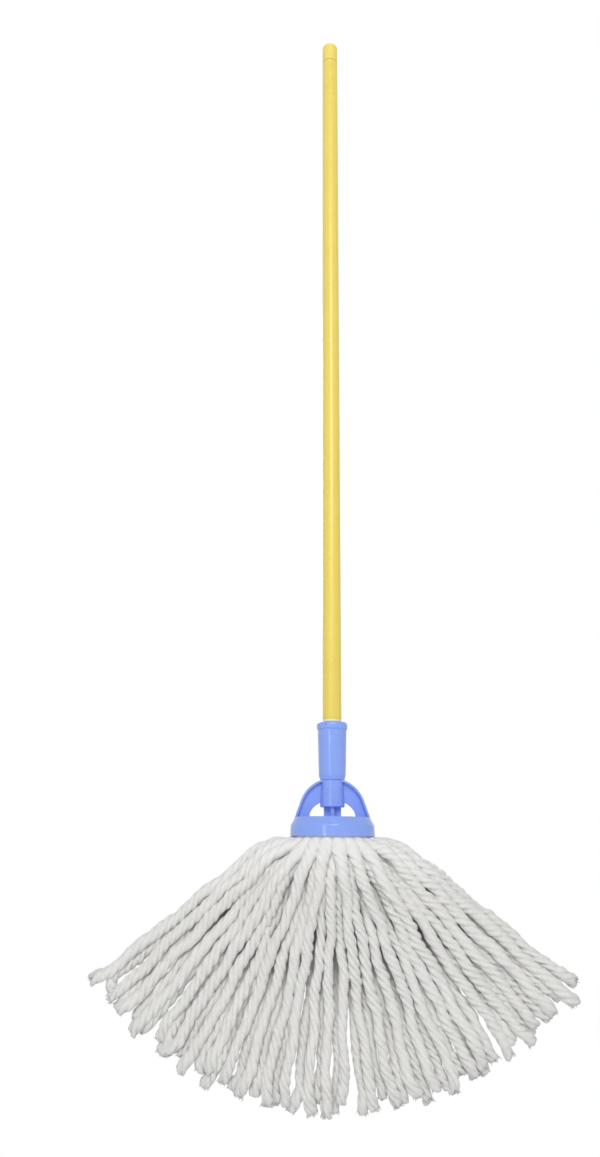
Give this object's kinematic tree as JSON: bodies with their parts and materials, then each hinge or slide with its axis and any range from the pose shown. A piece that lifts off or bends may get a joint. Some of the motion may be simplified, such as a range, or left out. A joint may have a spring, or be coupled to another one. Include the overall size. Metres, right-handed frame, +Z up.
{
  "type": "round_mop",
  "caption": "Round mop with a yellow film-covered steel handle, a blue clamping sleeve, a blue arched cup head and thick twisted cotton strands fanned to both sides.",
  "frame": {"origin": "On the handle's axis, at the mouth of the lock sleeve, where the film-covered grip begins.", "axes": "+Z runs up the handle to its cap, -Z down to the yarn. -Y is the front, from which the fan of strands is seen broad, and X is the way in which the fan spreads."},
  "size_m": [0.5226, 0.1053, 1.4215],
  "materials": {
    "steel": "zinc plated",
    "yellow_film": "shrunk plastic film",
    "yellow_plastic": "moulded",
    "blue_plastic": "moulded",
    "white_plastic": "moulded",
    "cotton": "twisted yarn"
  },
  "bodies": {
    "handle": {"handle_tube": "steel", "handle_film": "yellow_film", "end_cap": "yellow_plastic", "end_plug": "white_plastic"},
    "head": {"head_frame": "blue_plastic", "clamp_disc": "white_plastic", "clamp_washer": "steel", "clamp_screw": "steel", "yarn_outer_1": "cotton", "yarn_outer_2": "cotton", "yarn_outer_3": "cotton", "yarn_outer_4": "cotton", "yarn_outer_5": "cotton", "yarn_outer_6": "cotton", "yarn_inner_1": "cotton", "yarn_inner_2": "cotton", "yarn_inner_3": "cotton", "yarn_inner_4": "cotton", "yarn_inner_5": "cotton", "yarn_inner_6": "cotton"},
    "grip_ring": {"grip_ring": "white_plastic"},
    "lock_sleeve": {"lock_sleeve": "blue_plastic"}
  },
  "joints": [
    {"name": "head_pull_off", "type": "slide", "parent": "handle", "child": "head", "axis": [0, 0, -1], "range_m": [0, 0.11]},
    {"name": "ring_lift", "type": "slide", "parent": "head", "child": "grip_ring", "axis": [0, 0, 1], "range_m": [0, 0.0061]},
    {"name": "sleeve_turn", "type": "hinge", "parent": "grip_ring", "child": "lock_sleeve", "pos_m": [0, 0, 0], "axis": [0, 0, 1], "range_deg": [0, 720]}
  ],
  "couplings": [
    {"joint": "ring_lift", "follows": "sleeve_turn", "m_per_rad": 0.00047746}
  ]
}
